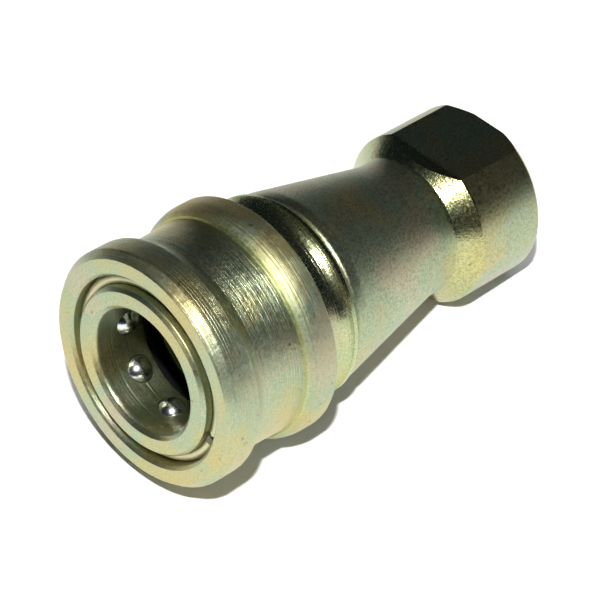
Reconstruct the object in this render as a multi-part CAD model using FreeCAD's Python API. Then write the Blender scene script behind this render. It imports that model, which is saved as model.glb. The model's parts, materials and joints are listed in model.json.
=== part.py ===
import FreeCAD, Part
import math
import os

# Socket half of a ball-lock hydraulic quick coupler, lying on its side.
# All sizes are millimetres. A station is a distance along the axis from the sleeve's front face,
# and a radius is a distance from the axis. Angles about the axis start at the upper flat.
# The overall length is counted from the sleeve's front face, and the nose reaches a little ahead of it.

# Driving sizes: the bore takes a standard plug, and the port takes a standard pipe thread
plug_bore_radius = 11.8
port_major_radius = 10.48
port_minor_radius = 9.32
overall_length = 84.8
sliding_clearance = 0.1
screwed_clearance = 0.05

# Nose of the front body
nose_wall = 4.2
nose_reach = 0.3
nose_lip_drop = 0.25
nose_chamfer = 0.6
mouth_chamfer = 0.8
plug_bore_length = 18.5

# Locking balls
ball_count = 8
ball_radius = 2.78
ball_station = 7.8
first_ball_angle = 42.0
ball_land_gap = 0.25
ball_hole_clearance = 0.1
ball_seat_clearance = 0.09
ball_cover = 0.2

# Snap ring in the sleeve's mouth
ring_wire_radius = 1.0
ring_station = 2.6
ring_groove_depth = 0.5
ring_side_clearance = 0.05
ring_gap_angle = 8.0
ring_gap_centre = 99.0
ring_hold = 0.2
mouth_gap = 0.25
lip_chamfer = 0.6

# Sleeve
sleeve_length = 25.1
sleeve_chamfer_run = 1.6
sleeve_chamfer_rise = 1.25
front_flange_width = 6.5
front_slope_run = 2.4
waist_wall = 2.35
waist_depth = 2.1
waist_rise = 0.3
rear_step_run = 0.2
rear_step_rise = 0.45
rear_slope_run = 0.95
rear_crown_run = 1.7
rear_crown_rise = 0.55
rear_flange_width = 3.5
sleeve_edge_break = 0.35
land_ramp_run = 0.6
land_end = 11.5

# Sleeve spring, in the space between the nose and the sleeve's rear bore
spring_space = 1.7
sleeve_spring_seat = 23.5
sleeve_spring_wire = 0.7
sleeve_spring_turns = 3.5
spring_end_gap = 0.03
section_arcs = 20

# Plug seal and its backup ring
seal_groove_start = 11.2
plug_seal_cord = 1.2
seal_setback = 0.03
backup_ring_width = 1.0
backup_ring_setback = 0.5
seal_clearance = 0.02

# Ridge and undercut behind the polished guide
ridge_fillet_start = 29.6
ridge_fillet_radius = 3.0
ridge_rise = 1.56
ridge_end = 33.1
undercut_width = 0.9
undercut_depth = 0.5

# Screwed joint between the two bodies
shoulder_wall = 4.0
spigot_wall = 2.9
spigot_length = 11.0
spigot_chamfer = 0.4
joint_groove_depth = 1.5
joint_groove_width = 2.1
joint_groove_setback = 1.6

# Valve
seat_lip = 3.5
throat_taper = 1.5
throat_end = 22.8
seat_gap = 0.07
seat_overlap = 1.2
poppet_tip = 18.8
poppet_tip_radius = 3.6
poppet_tip_run = 0.8
poppet_neck_depth = 2.1
poppet_head_length = 2.5
poppet_boss_length = 1.5
poppet_stem_radius = 2.5
poppet_stem_reach = 1.0
stem_chamfer = 0.5
poppet_seal_width = 0.9
poppet_seal_depth = 1.0
poppet_seal_setback = 0.35

# Valve guide and valve spring
guide_rim = 1.5
guide_disc_width = 2.2
guide_hub_wall = 1.3
guide_hub_front = 3.0
guide_hub_back = 3.3
flow_hole_count = 6
flow_hole_radius = 2.6
flow_hole_inset = 4.8
valve_spring_wire = 0.55
valve_spring_turns = 7.5
valve_spring_gap = 0.15

# Rear body
shoulder_rise = 0.7
shoulder_front_round = 0.9
shoulder_length = 2.4
flow_cone_run = 4.8
flow_step = 1.0
passage_step = 0.82
neck_wall = 4.8
neck_start = 61.0
collar_chamfer_foot = 64.6
collar_wall = 6.12
rear_chamfer = 2.0
flat_depth = 2.45
port_thread_length = 16.3
port_relief_width = 2.5
port_relief_clearance = 0.2
port_chamfer = 0.4

# Rounded edges
fine_round = 0.15
small_round = 0.3
edge_round = 0.6
shoulder_round = 2.0
waist_round = 2.5
crown_round = 4.0
neck_round = 6.0

# How far a fillet may reach along a side, and how far the cutting shapes reach past their pieces
fillet_share = 0.45
cutter_margin = 1.0
cutter_overlap = 0.01
join_tolerance = 1e-7

# Sizes worked out from those above
nose_radius = plug_bore_radius + nose_wall
nose_lip_radius = nose_radius - nose_lip_drop
guide_radius = nose_radius + spring_space
sleeve_rear_bore = guide_radius + sliding_clearance
waist_radius = sleeve_rear_bore + waist_wall
sleeve_radius = waist_radius + waist_depth
rear_flange_start = sleeve_length - rear_flange_width
rear_crown_start = rear_flange_start - rear_crown_run
rear_slope_start = rear_crown_start - rear_slope_run
waist_end_radius = waist_radius + waist_rise
land_radius = nose_radius + sliding_clearance
ball_orbit = land_radius - ball_land_gap - ball_radius
ball_travel = plug_bore_radius - (ball_orbit - ball_radius)
ring_orbit = nose_radius - ring_groove_depth + ring_wire_radius
release_radius = ring_orbit + ring_wire_radius - ring_hold
mouth_radius = ring_orbit + ring_wire_radius + mouth_gap
ring_hold_offset = math.sqrt(ring_wire_radius ** 2 - (release_radius - ring_orbit) ** 2)
sleeve_shoulder = ring_station + ring_hold_offset + ring_side_clearance
land_start = ball_station - ball_cover
seal_groove_radius = plug_bore_radius + seal_setback + 2 * plug_seal_cord + seal_clearance
seal_groove_end = seal_groove_start + 2 * plug_seal_cord + backup_ring_width + 3 * seal_clearance
ridge_radius = guide_radius + ridge_rise
undercut_radius = guide_radius - undercut_depth
shoulder_radius = guide_radius + shoulder_rise
spigot_radius = shoulder_radius - shoulder_wall
valve_chamber_radius = spigot_radius - spigot_wall
joint_face = ridge_end + undercut_width
spigot_end = joint_face + spigot_length
joint_bore = spigot_radius + screwed_clearance
throat_radius = plug_bore_radius - seat_lip
seat_end = throat_end + valve_chamber_radius - throat_radius
poppet_head_radius = throat_radius + seat_overlap
poppet_neck_radius = throat_radius - poppet_neck_depth
poppet_head_start = throat_end + seat_gap + poppet_head_radius - throat_radius
poppet_back = poppet_head_start + poppet_head_length
guide_disc_radius = spigot_radius - guide_rim
guide_hub_radius = poppet_stem_radius + sliding_clearance + guide_hub_wall
guide_back = spigot_end + guide_disc_width
flow_hole_orbit = guide_disc_radius - flow_hole_inset
flow_chamber_radius = guide_disc_radius - guide_rim
hub_end = guide_back + guide_hub_back
shoulder_end = joint_face + shoulder_length
passage_radius = port_minor_radius - passage_step
neck_radius = passage_radius + neck_wall
collar_radius = port_major_radius + collar_wall
collar_start = collar_chamfer_foot + collar_radius - neck_radius
flat_apothem = collar_radius - flat_depth
resting_rim = sleeve_length - sleeve_edge_break
rest_tilt = math.atan((sleeve_radius - flat_apothem) / (overall_length - resting_rim))


def vector(station, radius):
    return FreeCAD.Vector(station, 0, radius)


def rounded_corner(before, corner, after, fillet):
    """The arc that rounds one corner of an outline, kept inside its two sides."""
    to_before = before.sub(corner)
    to_after = after.sub(corner)
    half_angle = to_before.getAngle(to_after) / 2
    reach = min(fillet / math.tan(half_angle), fillet_share * to_before.Length, fillet_share * to_after.Length)
    radius = reach * math.tan(half_angle)
    to_before.normalize()
    to_after.normalize()
    inward = to_before.add(to_after).normalize()
    start = corner.add(to_before.multiply(reach))
    end = corner.add(to_after.multiply(reach))
    middle = corner.add(inward.multiply(radius / math.sin(half_angle) - radius))
    return start, middle, end


def outline_edges(points):
    """Edges of a closed outline of (station, radius) points; a third value rounds that corner."""
    corners = [vector(point[0], point[1]) for point in points]
    starts = []
    ends = []
    arcs = []
    for i, point in enumerate(points):
        corner = corners[i]
        if len(point) == 3:
            before = corners[i - 1]
            after = corners[(i + 1) % len(points)]
            start, middle, end = rounded_corner(before, corner, after, point[2])
            arcs.append(Part.Arc(start, middle, end).toShape())
            starts.append(start)
            ends.append(end)
        else:
            arcs.append(None)
            starts.append(corner)
            ends.append(corner)
    edges = []
    for i in range(len(points)):
        if arcs[i] is not None:
            edges.append(arcs[i])
        following = starts[(i + 1) % len(points)]
        if ends[i].distanceToPoint(following) > join_tolerance:
            edges.append(Part.LineSegment(ends[i], following).toShape())
    return edges


def turned(points):
    """A solid of revolution about the axis."""
    wire = Part.Wire(Part.__sortEdges__(outline_edges(points)))
    face = Part.Face(wire)
    return face.revolve(FreeCAD.Vector(0, 0, 0), FreeCAD.Vector(1, 0, 0), 360)


def about_axis(shape, angle):
    """A copy turned about the axis, from the upper flat towards the front's right side."""
    copy = shape.copy()
    copy.rotate(FreeCAD.Vector(0, 0, 0), FreeCAD.Vector(1, 0, 0), angle)
    return copy


def round_section(centre, radius):
    """A circle across the Y direction, drawn as equal arcs so that a long sweep of it stays true."""
    turn = 360 / section_arcs
    forward = FreeCAD.Vector(0, 1, 0)
    arcs = [Part.makeCircle(radius, centre, forward, turn * i, turn * (i + 1)) for i in range(section_arcs)]
    return Part.Wire(arcs)


def wound(start, end, orbit, wire_radius, turns):
    """A spring wound about the axis between two stations, wire ends included."""
    length = end - start - 2 * wire_radius - 2 * spring_end_gap
    path = Part.makeHelix(length / turns, length, orbit)
    section = round_section(FreeCAD.Vector(orbit, 0, 0), wire_radius)
    coil = Part.Wire(path).makePipeShell([section], True, True)
    coil.rotate(FreeCAD.Vector(0, 0, 0), FreeCAD.Vector(0, 1, 0), 90)
    coil.translate(FreeCAD.Vector(start + wire_radius + spring_end_gap, 0, 0))
    return coil


def cord_ring(station, orbit, cord_radius):
    """A ring of round section."""
    circle = Part.makeCircle(cord_radius, vector(station, orbit), FreeCAD.Vector(0, 1, 0))
    face = Part.Face(Part.Wire(circle))
    return face.revolve(FreeCAD.Vector(0, 0, 0), FreeCAD.Vector(1, 0, 0), 360)


def make_sleeve():
    """Pull-back sleeve: two flanges, a turned waist, and the land that holds the balls in."""
    return turned([
        (0, mouth_radius + lip_chamfer),
        (0, sleeve_radius - sleeve_chamfer_rise, small_round),
        (sleeve_chamfer_run, sleeve_radius, edge_round),
        (front_flange_width, sleeve_radius, shoulder_round),
        (front_flange_width + front_slope_run, waist_radius, waist_round),
        (rear_slope_start - rear_step_run, waist_end_radius, fine_round),
        (rear_slope_start, waist_end_radius + rear_step_rise, fine_round),
        (rear_crown_start, sleeve_radius - rear_crown_rise, shoulder_round),
        (rear_flange_start, sleeve_radius, crown_round),
        (sleeve_length - sleeve_edge_break, sleeve_radius),
        (sleeve_length, sleeve_radius - sleeve_edge_break),
        (sleeve_length, sleeve_rear_bore + sleeve_edge_break),
        (sleeve_length - sleeve_edge_break, sleeve_rear_bore),
        (land_end, sleeve_rear_bore),
        (land_end, land_radius),
        (land_start, land_radius),
        (land_start - land_ramp_run, release_radius),
        (sleeve_shoulder, release_radius),
        (sleeve_shoulder, mouth_radius),
        (lip_chamfer, mouth_radius),
    ])


def make_ball_hole():
    """Cutter for one ball hole: open outwards, with a seat that stops the ball at the bore."""
    seat_radius = math.sqrt(ball_radius ** 2 - (ball_orbit - plug_bore_radius) ** 2) + ball_seat_clearance
    hole_radius = ball_radius + ball_hole_clearance
    seat_top = ball_orbit - ball_hole_clearance
    below_bore = plug_bore_radius - seat_radius
    straight = Part.makeCylinder(seat_radius, seat_radius + cutter_overlap, vector(0, below_bore))
    seat = Part.makeCone(seat_radius, hole_radius, seat_top - plug_bore_radius, vector(0, plug_bore_radius))
    bore = Part.makeCylinder(hole_radius, nose_radius + cutter_margin - seat_top, vector(0, seat_top))
    cutter = straight.fuse([seat, bore])
    cutter.translate(vector(ball_station, 0))
    return cutter


def make_ridge_arc():
    """Points of the concave fillet that rises from the polished guide to the ridge."""
    centre = vector(ridge_fillet_start, guide_radius + ridge_fillet_radius)
    last = math.acos(1 - ridge_rise / ridge_fillet_radius)
    points = []
    for share in (0, 0.5, 1):
        turn = last * share
        offset = vector(math.sin(turn), -math.cos(turn)).multiply(ridge_fillet_radius)
        points.append(centre.add(offset))
    return points


def make_socket_body():
    """Front body: plug socket, ball holes, sleeve guide, ridge, valve seat and spigot."""
    groove_front = ring_station - ring_wire_radius - ring_side_clearance
    groove_back = ring_station + ring_wire_radius + ring_side_clearance
    groove_floor = ring_orbit - ring_wire_radius - seal_clearance
    joint_groove_back = spigot_end - joint_groove_setback
    joint_groove_front = joint_groove_back - joint_groove_width
    joint_groove_floor = spigot_radius - joint_groove_depth
    arc_start, arc_middle, arc_end = make_ridge_arc()
    outline = [
        (arc_end.x, ridge_radius),
        (ridge_end, ridge_radius, fine_round),
        (ridge_end, undercut_radius),
        (joint_face, undercut_radius),
        (joint_face, spigot_radius),
        (joint_groove_front, spigot_radius),
        (joint_groove_front, joint_groove_floor),
        (joint_groove_back, joint_groove_floor),
        (joint_groove_back, spigot_radius),
        (spigot_end - spigot_chamfer, spigot_radius),
        (spigot_end, spigot_radius - spigot_chamfer),
        (spigot_end, valve_chamber_radius),
        (seat_end, valve_chamber_radius),
        (throat_end, throat_radius),
        (plug_bore_length + throat_taper, throat_radius),
        (plug_bore_length, plug_bore_radius),
        (seal_groove_end, plug_bore_radius),
        (seal_groove_end, seal_groove_radius),
        (seal_groove_start, seal_groove_radius),
        (seal_groove_start, plug_bore_radius),
        (mouth_chamfer - nose_reach, plug_bore_radius),
        (-nose_reach, plug_bore_radius + mouth_chamfer),
        (-nose_reach, nose_lip_radius - nose_chamfer),
        (nose_chamfer - nose_reach, nose_lip_radius),
        (groove_front, nose_lip_radius),
        (groove_front, groove_floor),
        (groove_back, groove_floor),
        (groove_back, nose_radius),
        (sleeve_spring_seat, nose_radius),
        (sleeve_spring_seat, guide_radius),
        (arc_start.x, guide_radius),
    ]
    edges = outline_edges(outline)[:-1]
    edges.append(Part.Arc(arc_start, arc_middle, arc_end).toShape())
    face = Part.Face(Part.Wire(Part.__sortEdges__(edges)))
    body = face.revolve(FreeCAD.Vector(0, 0, 0), FreeCAD.Vector(1, 0, 0), 360)
    hole = make_ball_hole()
    holes = [about_axis(hole, angle) for angle in ball_angles()]
    return body.cut(holes)


def ball_angles():
    """Angles of the locking balls about the axis."""
    return [first_ball_angle + 360 * i / ball_count for i in range(ball_count)]


def make_ball(angle):
    """One locking ball, part way through its hole."""
    ball = Part.makeSphere(ball_radius, vector(ball_station, ball_orbit))
    return about_axis(ball, angle)


def make_snap_ring():
    """Split round-wire ring in the nose's groove, which stops the sleeve coming off."""
    circle = Part.makeCircle(ring_wire_radius, vector(ring_station, ring_orbit), FreeCAD.Vector(0, 1, 0))
    face = Part.Face(Part.Wire(circle))
    sweep = 360 - ring_gap_angle
    ring = face.revolve(FreeCAD.Vector(0, 0, 0), FreeCAD.Vector(1, 0, 0), sweep)
    return about_axis(ring, ring_gap_centre + ring_gap_angle / 2)


def make_sleeve_spring():
    """Spring between the sleeve's land and the step on the front body."""
    orbit = (nose_radius + sleeve_rear_bore) / 2
    return wound(land_end, sleeve_spring_seat, orbit, sleeve_spring_wire, sleeve_spring_turns)


def make_plug_seal():
    """Rubber ring that seals on the plug."""
    station = seal_groove_start + seal_clearance + plug_seal_cord
    orbit = seal_groove_radius - seal_clearance - plug_seal_cord
    return cord_ring(station, orbit, plug_seal_cord)


def make_backup_ring():
    """Flat ring behind the plug seal."""
    inner = plug_bore_radius + backup_ring_setback
    outer = seal_groove_radius - seal_clearance
    back = seal_groove_end - seal_clearance
    front = back - backup_ring_width
    return turned([(front, inner), (front, outer), (back, outer), (back, inner)])


def make_joint_seal():
    """Rubber ring in the spigot's groove, between the two bodies."""
    floor = spigot_radius - joint_groove_depth
    cord = (joint_bore - floor) / 2 - seal_clearance / 2
    station = spigot_end - joint_groove_setback - joint_groove_width / 2
    return cord_ring(station, floor + cord + seal_clearance / 2, cord)


def cone_radius(station, gap):
    """Radius of the valve's cone at a station, a gap short of the seat."""
    return throat_radius + station - throat_end - gap


def poppet_seal_stations():
    """Front and back of the seal's groove on the poppet's cone."""
    back = poppet_head_start - poppet_seal_setback
    return back - poppet_seal_width, back


def make_poppet():
    """Valve poppet with its tip in the socket and its stem in the guide."""
    seal_front, seal_back = poppet_seal_stations()
    floor = cone_radius(seal_front, seat_gap) - poppet_seal_depth
    boss_end = poppet_back + poppet_boss_length
    boss_radius = guide_hub_radius
    stem_end = hub_end + poppet_stem_reach
    cone_start = throat_end + seat_gap + poppet_neck_radius - throat_radius
    return turned([
        (poppet_tip, 0),
        (poppet_tip, poppet_tip_radius, edge_round),
        (cone_start - poppet_tip_run, poppet_tip_radius, edge_round),
        (cone_start, poppet_neck_radius),
        (seal_front, cone_radius(seal_front, seat_gap)),
        (seal_front, floor),
        (seal_back, floor),
        (seal_back, cone_radius(seal_back, seat_gap)),
        (poppet_head_start, poppet_head_radius),
        (poppet_back, poppet_head_radius, edge_round),
        (poppet_back, boss_radius),
        (boss_end, boss_radius, small_round),
        (boss_end, poppet_stem_radius),
        (stem_end - stem_chamfer, poppet_stem_radius),
        (stem_end, poppet_stem_radius - stem_chamfer),
        (stem_end, 0),
    ])


def make_poppet_seal():
    """Rubber ring in the poppet's groove, just proud of its cone."""
    seal_front, seal_back = poppet_seal_stations()
    front = seal_front + seal_clearance
    back = seal_back - seal_clearance
    floor = cone_radius(seal_front, seat_gap) - poppet_seal_depth + seal_clearance
    proud = seat_gap / 2
    return turned([(front, floor), (front, cone_radius(front, proud)), (back, cone_radius(back, proud)), (back, floor)])


def make_valve_spring():
    """Spring that closes the poppet, from the guide's face."""
    orbit = guide_hub_radius + valve_spring_gap + valve_spring_wire
    return wound(poppet_back, spigot_end, orbit, valve_spring_wire, valve_spring_turns)


def make_valve_guide():
    """Disc with flow holes and a hub for the poppet's stem, clamped between the bodies."""
    hub_start = spigot_end - guide_hub_front
    stem_bore = poppet_stem_radius + sliding_clearance
    disc = turned([
        (hub_start, stem_bore),
        (hub_start, guide_hub_radius),
        (spigot_end, guide_hub_radius),
        (spigot_end, guide_disc_radius),
        (guide_back, guide_disc_radius),
        (guide_back, guide_hub_radius, edge_round),
        (hub_end, guide_hub_radius, small_round),
        (hub_end, stem_bore),
    ])
    hole = Part.makeCylinder(flow_hole_radius, guide_disc_width + 2 * cutter_margin,
                             vector(spigot_end - cutter_margin, flow_hole_orbit), FreeCAD.Vector(1, 0, 0))
    holes = [about_axis(hole, 360 * i / flow_hole_count) for i in range(flow_hole_count)]
    return disc.cut(holes)


def make_rear_body():
    """Rear body: shoulder, long cone, neck, collar with two wrench flats, and the pipe port."""
    thread_end = overall_length - port_thread_length
    relief_end = thread_end - port_relief_width
    relief_radius = port_major_radius + port_relief_clearance
    port_mouth_radius = port_major_radius + port_chamfer
    thread_start = overall_length - (port_mouth_radius - port_minor_radius)
    guide_pocket = guide_disc_radius + sliding_clearance
    body = turned([
        (joint_face, joint_bore),
        (joint_face, shoulder_radius, shoulder_front_round),
        (shoulder_end, shoulder_radius, shoulder_round),
        (neck_start, neck_radius, neck_round),
        (collar_chamfer_foot, neck_radius, edge_round),
        (collar_start, collar_radius, fine_round),
        (overall_length - rear_chamfer, collar_radius, small_round),
        (overall_length, collar_radius - rear_chamfer),
        (overall_length, port_mouth_radius),
        (thread_start, port_minor_radius),
        (thread_end, port_minor_radius),
        (thread_end, relief_radius),
        (relief_end, relief_radius),
        (relief_end, passage_radius),
        (guide_back + flow_cone_run, passage_radius),
        (guide_back + flow_step, flow_chamber_radius),
        (guide_back, flow_chamber_radius),
        (guide_back, guide_pocket),
        (spigot_end, guide_pocket),
        (spigot_end, joint_bore),
    ])
    depth = collar_radius - flat_apothem
    length = overall_length - collar_chamfer_foot + cutter_margin
    width = 2 * collar_radius
    flat = Part.makeBox(length, width, depth, FreeCAD.Vector(collar_chamfer_foot, -collar_radius, flat_apothem))
    return body.cut([flat, about_axis(flat, 180)])


def make_parts():
    """Every piece by name, in the axis frame."""
    parts = {
        "sleeve": make_sleeve(),
        "socket_body": make_socket_body(),
        "rear_body": make_rear_body(),
        "snap_ring": make_snap_ring(),
        "sleeve_spring": make_sleeve_spring(),
        "plug_seal": make_plug_seal(),
        "backup_ring": make_backup_ring(),
        "joint_seal": make_joint_seal(),
        "poppet": make_poppet(),
        "poppet_seal": make_poppet_seal(),
        "valve_spring": make_valve_spring(),
        "valve_guide": make_valve_guide(),
    }
    for i, angle in enumerate(ball_angles()):
        parts["locking_ball_%d" % (i + 1)] = make_ball(angle)
    return parts


def laid_to_rest(shape):
    """Tilts a piece so that the sleeve's rim and the lower flat's end touch the ground."""
    resting_height = resting_rim * math.sin(rest_tilt) + sleeve_radius * math.cos(rest_tilt)
    front_end = -(sleeve_radius - sleeve_chamfer_rise) * math.sin(rest_tilt)
    rear_end = overall_length * math.cos(rest_tilt) + flat_apothem * math.sin(rest_tilt)
    placed = shape.copy()
    placed.rotate(FreeCAD.Vector(0, 0, 0), FreeCAD.Vector(0, 1, 0), math.degrees(rest_tilt))
    placed.translate(FreeCAD.Vector(-(front_end + rear_end) / 2, 0, resting_height))
    return placed


os.makedirs("parts", exist_ok=True)
for name, shape in make_parts().items():
    placed = laid_to_rest(shape)
    print(name, "valid", placed.isValid(), "solids", len(placed.Solids), "mm3", round(placed.Volume, 1))
    placed.exportStep("parts/%s.step" % name)
print("rest tilt", round(math.degrees(rest_tilt), 3), "ball travel", round(ball_travel, 3))
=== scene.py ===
import json
from math import acos, atan2, ceil, cos, degrees, pi, radians, sin, sqrt, tan

import bpy
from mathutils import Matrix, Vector


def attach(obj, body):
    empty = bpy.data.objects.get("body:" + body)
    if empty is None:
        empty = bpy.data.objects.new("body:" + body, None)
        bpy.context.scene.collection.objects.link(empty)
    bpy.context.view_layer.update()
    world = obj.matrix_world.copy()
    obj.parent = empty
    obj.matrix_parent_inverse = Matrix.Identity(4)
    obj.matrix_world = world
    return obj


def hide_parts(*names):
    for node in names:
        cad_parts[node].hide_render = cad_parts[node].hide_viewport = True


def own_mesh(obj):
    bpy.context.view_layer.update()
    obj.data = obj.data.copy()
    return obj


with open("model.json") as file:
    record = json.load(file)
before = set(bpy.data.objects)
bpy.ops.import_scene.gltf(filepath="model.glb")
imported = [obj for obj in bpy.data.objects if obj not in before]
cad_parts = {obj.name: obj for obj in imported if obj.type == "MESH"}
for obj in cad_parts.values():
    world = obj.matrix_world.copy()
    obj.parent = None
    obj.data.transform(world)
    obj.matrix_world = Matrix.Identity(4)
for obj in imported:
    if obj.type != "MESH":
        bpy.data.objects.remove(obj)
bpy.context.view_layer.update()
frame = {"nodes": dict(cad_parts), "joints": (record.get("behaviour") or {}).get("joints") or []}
print("frame loaded")

mm = 0.001
rampLength = 100.0  # mm along the axis that a zoned value covers
joints = {joint["name"]: joint for joint in frame["joints"]}
axis = Vector(joints["sleeve_slide"]["axis"]).normalized()
tilt = atan2(-axis.z, axis.x)  # how far the axis falls towards the port
spinStation = 12.0
frontCentre = Vector(joints["sleeve_spin"]["pos_m"]) - axis * spinStation * mm
ballNames = ["locking_ball_%d" % (i + 1) for i in range(8)]

# Sizes in mm: station from the sleeve's front face, radius from the axis.
fit = {
    "sleeve": 22.25,
    "nose": 16.0,
    "land": 16.1,
    "guide": 17.7,
    "guideBore": 17.8,
    "plugBore": 11.8,
    "spigot": 14.4,
    "jointBore": 14.45,
    "jointFace": 34.0,
    "spigotEnd": 45.0,
    "chamber": 11.5,
    "throat": 8.3,
}


def deselectAll():
    if bpy.context.object and bpy.context.object.mode != "OBJECT":
        bpy.ops.object.mode_set(mode="OBJECT")
    bpy.ops.object.select_all(action="DESELECT")


def makeActive(piece):
    deselectAll()
    piece.select_set(True)
    bpy.context.view_layer.objects.active = piece


def roundedProfile(corners, degreesPerStep=9):
    # A corner with a third value is rounded to that radius, as far as its sides allow.
    points = []
    for i, corner in enumerate(corners):
        here = Vector(corner[:2])
        if len(corner) < 3:
            points.append(here)
            continue
        toLast = Vector(corners[i - 1][:2]) - here
        toNext = Vector(corners[(i + 1) % len(corners)][:2]) - here
        half = toLast.angle(toNext) / 2
        reach = min(corner[2] / tan(half), 0.45 * toLast.length, 0.45 * toNext.length)
        middle = (toLast.normalized() + toNext.normalized()).normalized()
        centre = here + middle * reach / cos(half)
        start = here + toLast.normalized() * reach - centre
        turn = start.angle_signed(here + toNext.normalized() * reach - centre)
        steps = max(2, ceil(abs(degrees(turn)) / degreesPerStep))
        heading = atan2(start.y, start.x)
        for k in range(steps + 1):
            angle = heading - turn * k / steps
            points.append(centre + Vector((cos(angle), sin(angle))) * start.length)
    return points


def turnedPiece(name, corners, segments=256):
    # A profile drawn point by point, spun about the X axis.
    points = roundedProfile(corners)
    closed = min(points[0].y, points[-1].y) > 0
    following = points[1:] + (points[:1] if closed else [])
    deselectAll()
    bpy.ops.mesh.primitive_plane_add(size=mm)
    piece = bpy.context.object
    piece.name = name
    bpy.ops.object.mode_set(mode="EDIT")
    bpy.ops.mesh.select_all(action="SELECT")
    bpy.ops.mesh.merge(type="CENTER")
    bpy.ops.transform.translate(value=(points[0].x * mm, 0, points[0].y * mm))
    for last, here in zip(points, following):
        step = (here - last) * mm
        bpy.ops.mesh.extrude_vertices_move(TRANSFORM_OT_translate={"value": (step.x, 0, step.y)})
    bpy.ops.mesh.select_all(action="SELECT")
    bpy.ops.mesh.remove_doubles(threshold=1e-6)
    bpy.ops.mesh.spin(steps=segments, angle=2 * pi, center=(0, 0, 0), axis=(1, 0, 0))
    closeUp()
    return piece


def closeUp():
    bpy.ops.mesh.select_all(action="SELECT")
    bpy.ops.mesh.remove_doubles(threshold=1e-6)
    bpy.ops.mesh.select_all(action="SELECT")
    bpy.ops.mesh.normals_make_consistent(inside=False)
    bpy.ops.object.mode_set(mode="OBJECT")


def cutWith(piece, cutter):
    makeActive(piece)
    cut = piece.modifiers.new("cut", "BOOLEAN")
    cut.operation = "DIFFERENCE"
    cut.solver = "EXACT"
    cut.object = cutter
    bpy.ops.object.modifier_apply(modifier=cut.name)
    bpy.data.objects.remove(cutter)


def windPiece(piece, turns, advance, stepsPerTurn=64):
    # The open outline becomes a closed coil about the X axis.
    makeActive(piece)
    winding = piece.modifiers.new("winding", "SCREW")
    winding.axis = "X"
    winding.angle = 2 * pi * turns
    winding.screw_offset = advance * mm
    winding.steps = int(stepsPerTurn * turns)
    winding.render_steps = winding.steps
    bpy.ops.object.modifier_apply(modifier=winding.name)
    bpy.ops.object.mode_set(mode="EDIT")
    bpy.ops.mesh.select_all(action="SELECT")
    bpy.ops.mesh.fill_holes(sides=0)
    closeUp()


def finishPiece(piece, body, material, nodes, sharpAngle=28):
    # Laid onto the tilted axis, with its place in its mesh.
    makeActive(piece)
    piece.rotation_euler = (piece.rotation_euler.x, tilt, 0)
    piece.location = frontCentre
    bpy.ops.object.transform_apply(location=True, rotation=True, scale=True)
    bpy.ops.object.shade_smooth_by_angle(angle=radians(sharpAngle))
    piece.data.materials.clear()
    piece.data.materials.append(material)
    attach(piece, body)
    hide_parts(*nodes)


class Shade:
    # A material and its nodes.
    def __init__(self, name):
        self.material = bpy.data.materials.new(name)
        self.material.use_nodes = True
        self.tree = self.material.node_tree
        self.tree.nodes.clear()

    def node(self, kind, settings=None, inputs=None, output=0):
        made = self.tree.nodes.new(kind)
        for key, value in (settings or {}).items():
            if key == "stops":
                self.setStops(made.color_ramp.elements, value)
            else:
                setattr(made, key, value)
        for key, value in (inputs or {}).items():
            if isinstance(value, Wire):
                self.tree.links.new(value.socket, made.inputs[key])
            else:
                made.inputs[key].default_value = value
        return Wire(self, made.outputs[output]) if made.outputs else None

    def setStops(self, elements, stops):
        for element, (place, colour) in ((elements[0], stops[0]), (elements[-1], stops[-1])):
            element.position = place
            element.color = (*colour, 1)
        for place, colour in stops[1:-1]:
            elements.new(place).color = (*colour, 1)

    def noise(self, place, scale, detail=3.0, roughness=0.5):
        return self.node("ShaderNodeTexNoise", None,
                         {"Vector": place, "Scale": scale, "Detail": detail, "Roughness": roughness})

    def spread(self, value, low, high):
        return self.node("ShaderNodeMapRange", {"interpolation_type": "SMOOTHSTEP"},
                         {0: value, 1: low, 2: high})

    def mix(self, factor, first, second):
        return self.node("ShaderNodeMix", {"data_type": "RGBA"}, {0: factor, 6: first, 7: second}, 2)

    def zoned(self, along, zones):
        # A value that changes with the station, from (station, value) pairs.
        stops = [(station / rampLength, (value, value, value)) for station, value in zones]
        return self.node("ShaderNodeValToRGB", {"stops": stops}, {0: along * (1 / (rampLength * mm))})

    def bump(self, height):
        # The height is in mm.
        return self.node("ShaderNodeBump", None, {"Strength": 1.0, "Distance": mm, "Height": height})

    def axisPlace(self):
        # Place measured along the coupler's own axis and out from it, in metres.
        objectPlace = self.node("ShaderNodeTexCoord", output=3)
        place = self.node("ShaderNodeMapping", {"vector_type": "TEXTURE"},
                          {0: objectPlace, 1: frontCentre, 2: (0, tilt, 0)})
        along = self.node("ShaderNodeSeparateXYZ", None, {0: place})
        across, up = along.other(1), along.other(2)
        radius = (across * across + up * up) ** 0.5
        return place, along, radius

    def finish(self, inputs):
        surface = self.node("ShaderNodeBsdfPrincipled", None, inputs)
        self.node("ShaderNodeOutputMaterial", None, {"Surface": surface})
        return self.material


class Wire:
    # A node's output that can be added, multiplied and raised like a number.
    def __init__(self, shade, socket):
        self.shade = shade
        self.socket = socket

    def other(self, output):
        return Wire(self.shade, self.socket.node.outputs[output])

    def maths(self, operation, first, second):
        return self.shade.node("ShaderNodeMath", {"operation": operation}, {0: first, 1: second})

    def __add__(self, other):
        return self.maths("ADD", self, other)

    __radd__ = __add__

    def __sub__(self, other):
        return self.maths("SUBTRACT", self, other)

    def __rsub__(self, other):
        return self.maths("SUBTRACT", other, self)

    def __mul__(self, other):
        return self.maths("MULTIPLY", self, other)

    __rmul__ = __mul__

    def __pow__(self, other):
        return self.maths("POWER", self, other)


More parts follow.
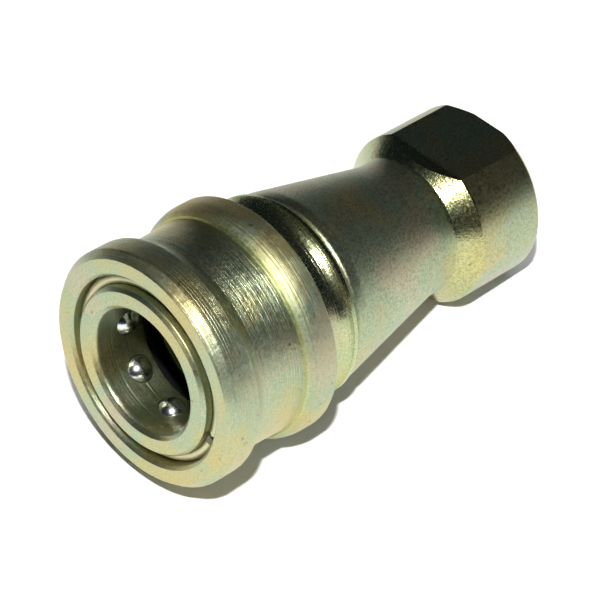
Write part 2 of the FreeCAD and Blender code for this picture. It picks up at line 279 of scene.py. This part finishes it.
# Zinc under a yellow-green passivation that drifts to teal and pink with its thickness.
plating = {
    "tints": [(0.34, (0.54, 0.46, 0.20)), (0.46, (0.48, 0.47, 0.25)), (0.55, (0.36, 0.46, 0.31)),
              (0.62, (0.47, 0.47, 0.31)), (0.72, (0.50, 0.44, 0.30))],
    "pale": (0.60, 0.57, 0.43, 1), "paleFrom": (0.5, 0.75), "paleShare": 0.35,
    "dull": (0.16, 0.16, 0.11, 1), "dullFrom": (0.36, 0.6),
    "lime": (0.54, 0.57, 0.20, 1),
    "stain": (0.20, 0.13, 0.07, 1), "stainFrom": (0.69, 0.75), "stainShare": 0.6,
    "patchScale": 55.0, "ringFleck": 600.0, "stainScale": 520.0,
    "fineRings": 0.6, "fineTimes": 3, "grainTint": 0.3, "grainRough": 0.25, "ringRough": 0.15,
}


def platedSteel(name, look):
    shade = Shade(name)
    place, along, radius = shade.axisPlace()
    turned = shade.node("ShaderNodeCombineXYZ", None, {0: along, 1: radius})
    coarse = shade.noise(turned, look["ringScale"], 2.0)
    fine = shade.noise(turned, look["ringScale"] * plating["fineTimes"], 2.0)
    fleck = shade.noise(place, plating["ringFleck"], 2.0)
    grain = shade.noise(place, look["grainScale"], 3.0, 0.65)
    patches = shade.noise(place, plating["patchScale"], 3.0)
    stains = shade.spread(shade.noise(place, plating["stainScale"], 2.0), *plating["stainFrom"])
    rings = (coarse + fine * plating["fineRings"]) * shade.zoned(along, look["rings"]) * (0.5 + fleck)
    tint = shade.node("ShaderNodeValToRGB", {"stops": plating["tints"]},
                      {0: patches + (coarse - 0.5) * look["ringTint"] + (grain - 0.5) * plating["grainTint"]})
    tint = shade.mix(shade.spread(coarse, *plating["paleFrom"]) * plating["paleShare"], tint, plating["pale"])
    tint = shade.mix(shade.zoned(along, look["lime"]), tint, plating["lime"])
    tint = shade.mix((1 - shade.spread(grain, *plating["dullFrom"])) * look["speckle"], tint, plating["dull"])
    tint = shade.mix(stains * plating["stainShare"], tint, plating["stain"])
    rough = shade.zoned(along, look["roughness"])
    rough = rough + (grain - 0.5) * plating["grainRough"] + (fine - 0.5) * plating["ringRough"]
    return shade.finish({"Base Color": tint, "Metallic": 1.0, "Roughness": rough,
                         "Normal": shade.bump(rings + grain * look["grain"])})


def plainSteel(name, colour, roughness, scale=900.0, depth=0.002):
    shade = Shade(name)
    place = shade.axisPlace()[0]
    scuffs = shade.noise(place, scale, 4.0)
    tone = shade.mix(scuffs, (*(0.85 * c for c in colour), 1), (*(min(1, 1.15 * c) for c in colour), 1))
    return shade.finish({"Base Color": tone, "Metallic": 1.0, "Roughness": roughness + (scuffs - 0.5) * 0.1,
                         "Normal": shade.bump(scuffs * depth)})


def softPlastic(name, colour, roughness):
    shade = Shade(name)
    place = shade.axisPlace()[0]
    grain = shade.noise(place, 3000.0, 3.0)
    tone = shade.mix(grain, (*colour, 1), (*(1.4 * c for c in colour), 1))
    return shade.finish({"Base Color": tone, "Specular IOR Level": 0.03,
                         "Roughness": roughness + (grain - 0.5) * 0.2, "Normal": shade.bump(grain * 0.004)})


# Turning marks, roughness and the yellowest plating go by station. Depths are in mm, scales per metre.
sleeveLook = {
    "rings": [(0.1, 0.02), (0.6, 0.11), (6.0, 0.11), (7.5, 0.13),
              (18.5, 0.13), (19.2, 0.10), (24.8, 0.09), (25.1, 0.02)],
    "roughness": [(0.0, 0.36), (0.8, 0.41), (6.4, 0.41), (8.0, 0.35),
                  (18.4, 0.35), (19.4, 0.47), (25.0, 0.45)],
    "lime": [(18.5, 0.0), (18.8, 0.6), (19.0, 0.6), (19.5, 0.0)],
    "ringScale": 3600.0, "ringTint": 0.45, "grainScale": 2300.0, "grain": 0.03, "speckle": 0.3,
}
socketLook = {
    "rings": [(0.1, 0.01), (0.6, 0.08), (22.0, 0.06), (25.0, 0.015),
              (29.0, 0.02), (30.0, 0.08), (33.0, 0.06)],
    "roughness": [(0.0, 0.36), (22.0, 0.32), (25.0, 0.32), (29.4, 0.24), (30.4, 0.22), (33.0, 0.24)],
    "lime": [(25.0, 0.0), (29.4, 0.15), (30.4, 0.3), (33.0, 0.3), (33.3, 0.0)],
    "ringScale": 2600.0, "ringTint": 0.2, "grainScale": 2800.0, "grain": 0.008, "speckle": 0.35,
}
rearLook = {
    "rings": [(34.0, 0.05), (37.0, 0.05), (38.5, 0.012), (60.0, 0.012),
              (61.5, 0.04), (64.5, 0.02), (68.4, 0.008)],
    "roughness": [(34.0, 0.34), (37.5, 0.43), (60.0, 0.43), (63.8, 0.38),
                  (64.8, 0.22), (68.0, 0.22), (68.6, 0.34)],
    "lime": [(62.0, 0.0), (64.8, 0.3), (67.9, 0.3), (68.3, 0.0)],
    "ringScale": 2400.0, "ringTint": 0.12, "grainScale": 2200.0, "grain": 0.04, "speckle": 0.5,
}
sleevePlate = platedSteel("sleevePlate", sleeveLook)
socketPlate = platedSteel("socketPlate", socketLook)
rearPlate = platedSteel("rearPlate", rearLook)
ballSteel = plainSteel("ballSteel", (0.66, 0.68, 0.70), 0.22)
ringSteel = plainSteel("ringSteel", (0.62, 0.59, 0.38), 0.48, 1500.0, 0.03)
springSteel = plainSteel("springSteel", (0.4, 0.4, 0.4), 0.35)
sealRubber = softPlastic("sealRubber", (0.004, 0.004, 0.004), 0.7)
backupPlastic = softPlastic("backupPlastic", (0.005, 0.005, 0.005), 0.7)
print("materials made")

sleeve = {
    "frontFace": 21.0, "chamfer": 1.6, "frontFlange": 6.5,
    "waistStart": 8.9, "waist": 20.15, "waistRise": 0.3, "stepStart": 18.75, "stepEnd": 18.95, "step": 0.45,
    "crownStart": 19.9, "crownRise": 0.55, "rearFlange": 21.6, "rear": 25.1, "edgeBreak": 0.35,
    "springRoom": 11.5, "landStart": 7.6, "landRamp": 0.6, "pocket": 17.3, "pocketStart": 3.25,
    "mouth": 17.75, "lip": 0.6,
    "lipRound": 0.1, "faceRound": 0.3, "chamferRound": 0.8, "flangeRound": 2.0, "waistRound": 2.5,
    "stepRound": 0.15, "crownRound": 4.0, "edgeRound": 0.12,
}


def makeSleeve():
    lip, rear, edge = sleeve["lip"], sleeve["rear"], sleeve["edgeBreak"]
    waistEnd = sleeve["waist"] + sleeve["waistRise"]
    outside = [
        (0, sleeve["mouth"] + lip, sleeve["lipRound"]), (0, sleeve["frontFace"], sleeve["faceRound"]),
        (sleeve["chamfer"], fit["sleeve"], sleeve["chamferRound"]),
        (sleeve["frontFlange"], fit["sleeve"], sleeve["flangeRound"]),
        (sleeve["waistStart"], sleeve["waist"], sleeve["waistRound"]),
        (sleeve["stepStart"], waistEnd, sleeve["stepRound"]),
        (sleeve["stepEnd"], waistEnd + sleeve["step"], sleeve["stepRound"]),
        (sleeve["crownStart"], fit["sleeve"] - sleeve["crownRise"], sleeve["flangeRound"]),
        (sleeve["rearFlange"], fit["sleeve"], sleeve["crownRound"]),
        (rear - edge, fit["sleeve"], sleeve["edgeRound"]), (rear, fit["sleeve"] - edge, sleeve["edgeRound"]),
    ]
    inside = [
        (rear, fit["guideBore"] + edge), (rear - edge, fit["guideBore"]),
        (sleeve["springRoom"], fit["guideBore"]), (sleeve["springRoom"], fit["land"]),
        (sleeve["landStart"], fit["land"]), (sleeve["landStart"] - sleeve["landRamp"], sleeve["pocket"]),
        (sleeve["pocketStart"], sleeve["pocket"]), (sleeve["pocketStart"], sleeve["mouth"]),
        (lip, sleeve["mouth"], sleeve["lipRound"]),
    ]
    piece = turnedPiece("releaseSleeve", outside + inside)
    finishPiece(piece, "sleeve", sleevePlate, ["sleeve"])


makeSleeve()
print("sleeve made")

ball = {
    "radius": 2.78, "station": 7.8, "orbit": 13.07, "firstAngle": 42.0, "count": 8,
    "holeGap": 0.1, "seatGap": 0.09, "cutPast": 1.0,
}
nose = {"reach": 0.3, "mouthChamfer": 0.8, "mouthRound": 0.4, "lip": 15.75, "lipChamfer": 0.6, "lipRound": 0.3,
        "faceRound": 0.2, "springSeat": 23.5, "seatRound": 0.1}
ringGroove = {"start": 1.55, "end": 3.65, "floor": 15.48}
ridge = {"filletStart": 29.6, "filletRadius": 3.0, "rise": 1.56, "end": 33.1, "undercut": 17.2, "round": 0.15}
jointGroove = {"start": 41.3, "end": 43.4, "floor": 12.9, "chamfer": 0.4}
valveSeat = {"boreEnd": 18.5, "taperEnd": 20.0, "throatEnd": 22.8, "coneEnd": 26.0}
sealGroove = {"start": 11.2, "end": 14.66, "floor": 14.25}


def ridgeArc(steps=8):
    # The concave fillet that climbs from the guide to the ridge.
    last = acos(1 - ridge["rise"] / ridge["filletRadius"])
    centre = Vector((ridge["filletStart"], fit["guide"] + ridge["filletRadius"]))
    turns = [last * k / steps for k in range(steps + 1)]
    return [tuple(centre + Vector((sin(turn), -cos(turn))) * ridge["filletRadius"]) for turn in turns]


def ballHoleCutter(angle):
    # A straight hole, narrowed by a seat that stops the ball at the bore.
    seat = sqrt(ball["radius"] ** 2 - (ball["orbit"] - fit["plugBore"]) ** 2) + ball["seatGap"]
    hole = ball["radius"] + ball["holeGap"]
    outer = fit["nose"] + ball["cutPast"]
    cutter = turnedPiece("ballHoleCutter", [
        (fit["plugBore"] - seat, 0), (fit["plugBore"] - seat, seat), (fit["plugBore"], seat),
        (ball["orbit"] - ball["holeGap"], hole), (outer, hole), (outer, 0)], 64)
    cutter.rotation_euler = (0, -pi / 2, 0)  # its own axis turned upright
    cutter.location = (ball["station"] * mm, 0, 0)
    makeActive(cutter)
    bpy.ops.object.transform_apply(location=True, rotation=True, scale=True)
    cutter.rotation_euler = (radians(angle), 0, 0)
    bpy.ops.object.transform_apply(location=False, rotation=True, scale=False)
    return cutter


def makeSocketBody():
    grooveStart, grooveEnd = ringGroove["start"], ringGroove["end"]
    front = [
        (nose["mouthChamfer"] - nose["reach"], fit["plugBore"], nose["mouthRound"]),
        (-nose["reach"], fit["plugBore"] + nose["mouthChamfer"], nose["faceRound"]),
        (-nose["reach"], nose["lip"] - nose["lipChamfer"], nose["faceRound"]),
        (nose["lipChamfer"] - nose["reach"], nose["lip"], nose["lipRound"]),
        (grooveStart, nose["lip"]), (grooveStart, ringGroove["floor"]),
        (grooveEnd, ringGroove["floor"]), (grooveEnd, fit["nose"]),
        (nose["springSeat"], fit["nose"]), (nose["springSeat"], fit["guide"], nose["seatRound"]),
    ]
    rear = [
        (ridge["end"], fit["guide"] + ridge["rise"], ridge["round"]), (ridge["end"], ridge["undercut"]),
        (fit["jointFace"], ridge["undercut"]), (fit["jointFace"], fit["spigot"]),
        (jointGroove["start"], fit["spigot"]), (jointGroove["start"], jointGroove["floor"]),
        (jointGroove["end"], jointGroove["floor"]), (jointGroove["end"], fit["spigot"]),
        (fit["spigotEnd"] - jointGroove["chamfer"], fit["spigot"]),
        (fit["spigotEnd"], fit["spigot"] - jointGroove["chamfer"]),
        (fit["spigotEnd"], fit["chamber"]), (valveSeat["coneEnd"], fit["chamber"]),
        (valveSeat["throatEnd"], fit["throat"]), (valveSeat["taperEnd"], fit["throat"]),
        (valveSeat["boreEnd"], fit["plugBore"]), (sealGroove["end"], fit["plugBore"]),
        (sealGroove["end"], sealGroove["floor"]), (sealGroove["start"], sealGroove["floor"]),
        (sealGroove["start"], fit["plugBore"]),
    ]
    piece = turnedPiece("socketBody", front + ridgeArc() + rear)
    for i in range(ball["count"]):
        cutWith(piece, ballHoleCutter(ball["firstAngle"] + 360 * i / ball["count"]))
    finishPiece(piece, "body", socketPlate, ["socket_body"])


makeSocketBody()
print("socket body made")

shoulder = {"radius": 18.4, "end": 36.4, "frontRound": 0.9, "round": 2.0}
collar = {
    "radius": 16.6, "flat": 14.15, "foot": 64.6, "start": 68.1, "end": 84.8, "chamfer": 2.0,
    "neck": 13.3, "neckStart": 61.0, "neckRound": 6.0, "footRound": 0.8, "startRound": 0.2, "endRound": 0.3,
    "mouthRound": 0.1,
}
port = {"minor": 9.32, "major": 10.48, "end": 68.5, "mouthGap": 0.4, "relief": 66.0, "reliefGap": 0.2,
        "passage": 8.5}
flowRoom = {"guideEnd": 47.2, "guideRadius": 13.0, "coneStart": 48.2, "coneEnd": 52.0, "radius": 11.4}
flatCut = {"length": 30.0, "width": 40.0, "depth": 10.0}
thread = {"pitch": 1.814, "turns": 10, "side": 0.85, "runIn": 1.0}


def threadCutter():
    # A three-sided groove wound from the relief out past the mouth.
    deselectAll()
    bpy.ops.mesh.primitive_circle_add(
        vertices=3, radius=thread["side"] * mm, rotation=(pi / 2, 0, 0),
        location=((port["end"] - thread["runIn"]) * mm, 0, (port["major"] - thread["side"]) * mm))
    cutter = bpy.context.object
    bpy.ops.object.transform_apply(location=True, rotation=True, scale=True)
    windPiece(cutter, thread["turns"], thread["turns"] * thread["pitch"], 48)
    return cutter


def makeRearBody():
    reliefRadius = port["major"] + port["reliefGap"]
    portMouth = port["major"] + port["mouthGap"]
    corners = [
        (fit["jointFace"], fit["jointBore"]), (fit["jointFace"], shoulder["radius"], shoulder["frontRound"]),
        (shoulder["end"], shoulder["radius"], shoulder["round"]),
        (collar["neckStart"], collar["neck"], collar["neckRound"]),
        (collar["foot"], collar["neck"], collar["footRound"]),
        (collar["start"], collar["radius"], collar["startRound"]),
        (collar["end"] - collar["chamfer"], collar["radius"], collar["endRound"]),
        (collar["end"], collar["radius"] - collar["chamfer"], collar["mouthRound"]),
        (collar["end"], portMouth, collar["mouthRound"]),
        (collar["end"] - portMouth + port["minor"], port["minor"]), (port["end"], port["minor"]),
        (port["end"], reliefRadius), (port["relief"], reliefRadius), (port["relief"], port["passage"]),
        (flowRoom["coneEnd"], port["passage"]), (flowRoom["coneStart"], flowRoom["radius"]),
        (flowRoom["guideEnd"], flowRoom["radius"]), (flowRoom["guideEnd"], flowRoom["guideRadius"]),
        (fit["spigotEnd"], flowRoom["guideRadius"]), (fit["spigotEnd"], fit["jointBore"]),
    ]
    piece = turnedPiece("rearBody", corners)
    for side in (1, -1):
        deselectAll()
        bpy.ops.mesh.primitive_cube_add(size=1)
        cutter = bpy.context.object
        cutter.scale = (flatCut["length"] * mm, flatCut["width"] * mm, flatCut["depth"] * mm)
        cutter.location = ((collar["foot"] + flatCut["length"] / 2) * mm, 0,
                           side * (collar["flat"] + flatCut["depth"] / 2) * mm)
        bpy.ops.object.transform_apply(location=True, rotation=True, scale=True)
        cutWith(piece, cutter)
    cutWith(piece, threadCutter())
    finishPiece(piece, "body", rearPlate, ["rear_body"])


makeRearBody()
print("rear body made")

snapRing = {"wire": 1.0, "station": 2.6, "orbit": 16.5, "gapAngle": 8.0, "gapCentre": 99.0}


def makeSnapRing():
    deselectAll()
    bpy.ops.mesh.primitive_circle_add(vertices=32, radius=snapRing["wire"] * mm, rotation=(pi / 2, 0, 0),
                                      location=(snapRing["station"] * mm, 0, snapRing["orbit"] * mm))
    piece = bpy.context.object
    piece.name = "snapRing"
    bpy.ops.object.transform_apply(location=True, rotation=True, scale=True)
    bpy.ops.object.mode_set(mode="EDIT")
    bpy.ops.mesh.select_all(action="SELECT")
    bpy.ops.mesh.spin(steps=200, angle=radians(360 - snapRing["gapAngle"]), center=(0, 0, 0), axis=(1, 0, 0))
    bpy.ops.mesh.select_all(action="SELECT")
    bpy.ops.mesh.fill_holes(sides=0)
    closeUp()
    piece.rotation_euler = (radians(snapRing["gapCentre"] + snapRing["gapAngle"] / 2), 0, 0)
    makeActive(piece)
    bpy.ops.object.transform_apply(location=True, rotation=True, scale=True)
    finishPiece(piece, "body", ringSteel, ["snap_ring"])


makeSnapRing()


def makeBalls():
    steps = 24
    turns = [pi * k / steps for k in range(steps + 1)]
    arc = [(-ball["radius"] * cos(turn), ball["radius"] * sin(turn)) for turn in turns]
    arc[0] = (-ball["radius"], 0)  # both ends lie on the axis
    arc[-1] = (ball["radius"], 0)
    first = turnedPiece("ballMaster", arc, 48)
    for i, name in enumerate(ballNames):
        piece = first.copy()
        piece.data = first.data.copy()
        piece.name = "ball%d" % (i + 1)
        bpy.context.scene.collection.objects.link(piece)
        angle = radians(ball["firstAngle"] + 360 * i / ball["count"])
        makeActive(piece)
        outward = Vector((0, -sin(angle), cos(angle)))
        piece.location = (Vector((ball["station"], 0, 0)) + outward * ball["orbit"]) * mm
        bpy.ops.object.transform_apply(location=True, rotation=True, scale=True)
        finishPiece(piece, name, ballSteel, [name])
    bpy.data.objects.remove(first)


makeBalls()
print("snap ring and balls made")


springs = [
    {"name": "sleeveSpring", "body": "spring_turn", "node": "sleeve_spring", "start": 11.5, "end": 23.5,
     "orbit": 16.9, "wire": 0.7, "turns": 3.5, "endGap": 0.03, "joint": "sleeve_slide", "travel": 5.5},
    {"name": "valveSpring", "body": "body", "node": "valve_spring", "start": 26.57, "end": 45.0,
     "orbit": 4.6, "wire": 0.55, "turns": 7.5, "endGap": 0.03, "joint": "poppet_slide", "travel": 6.0},
]


def makeSpring(spring):
    deselectAll()
    room = spring["end"] - spring["start"]
    rim = spring["wire"] + spring["endGap"]
    bpy.ops.mesh.primitive_circle_add(vertices=16, radius=spring["wire"] * mm, rotation=(pi / 2, 0, 0),
                                      location=((spring["start"] + rim) * mm, 0, spring["orbit"] * mm))
    piece = bpy.context.object
    piece.name = spring["name"]
    bpy.ops.object.transform_apply(location=True, rotation=True, scale=True)
    windPiece(piece, spring["turns"], room - 2 * rim)
    finishPiece(piece, spring["body"], springSteel, [spring["node"]], 60)
    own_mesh(piece)


for spring in springs:
    makeSpring(spring)
print("springs made")


def paint(node, material):
    mesh = frame["nodes"][node].data
    mesh.materials.clear()
    mesh.materials.append(material)


for node, material in (("plug_seal", sealRubber), ("joint_seal", sealRubber), ("poppet_seal", sealRubber),
                       ("backup_ring", backupPlastic), ("poppet", socketPlate), ("valve_guide", socketPlate)):
    paint(node, material)

room = {
    "floor": (0.86, 0.86, 0.84, 1),
    "dark": (0.009, 0.013, 0.019, 1),
    "middle": 40.0,  # station that the lights point at
}
lights = [
    {"name": "flash", "towards": (-0.383, -0.372, 0.846), "distance": 0.8, "size": 0.03, "power": 8.5,
     "mirrored": True},
    {"name": "softTop", "towards": (0.1, 0.1, 1.0), "distance": 0.9, "size": 0.9, "power": 4.2,
     "mirrored": False},
    {"name": "lowSide", "towards": (-0.2, -1.0, 0.5), "distance": 0.9, "size": 0.8, "power": 1.8,
     "mirrored": False},
]


def makeFloor():
    deselectAll()
    bpy.ops.mesh.primitive_plane_add(size=6)
    floor = bpy.context.object
    floor.name = "floor"
    floor.data.materials.append(Shade("floorPaper").finish({"Base Color": room["floor"], "Roughness": 0.9}))


def makeLight(lamp):
    data = bpy.data.lights.new(lamp["name"], "AREA")
    data.shape = "DISK"
    data.size = lamp["size"]
    data.energy = lamp["power"]
    light = bpy.data.objects.new(lamp["name"], data)
    bpy.context.scene.collection.objects.link(light)
    heading = Vector(lamp["towards"]).normalized()
    light.location = frontCentre + axis * room["middle"] * mm + heading * lamp["distance"]
    light.rotation_euler = heading.to_track_quat("Z", "Y").to_euler()
    light.visible_glossy = lamp["mirrored"]


def makeWorld():
    world = bpy.data.worlds.new("room")
    world.use_nodes = True
    world.node_tree.nodes["Background"].inputs["Color"].default_value = room["dark"]
    bpy.context.scene.world = world


camera = {
    "fromFace": (-0.2719, 0.3363, 0.2676),  # metres along the axis, up from the flats and towards the viewer
    "heading": (0.58283, -0.63873, -0.50233),
    "lens": 180.0,
}


def fromAxis(along, up, side):
    across = Vector((0, -1, 0))
    upright = axis.cross(across) * -1
    return axis * along + upright * up + across * side


def makeCamera():
    data = bpy.data.cameras.new("camera")
    data.lens = camera["lens"]
    data.sensor_width = 36
    viewer = bpy.data.objects.new("camera", data)
    bpy.context.scene.collection.objects.link(viewer)
    viewer.location = frontCentre + fromAxis(*camera["fromFace"])
    viewer.rotation_euler = fromAxis(*camera["heading"]).to_track_quat("-Z", "Y").to_euler()
    bpy.context.scene.camera = viewer


makeFloor()
makeWorld()
for lamp in lights:
    makeLight(lamp)
makeCamera()
bpy.context.scene.view_settings.view_transform = "Standard"
print("floor, lights and camera made")
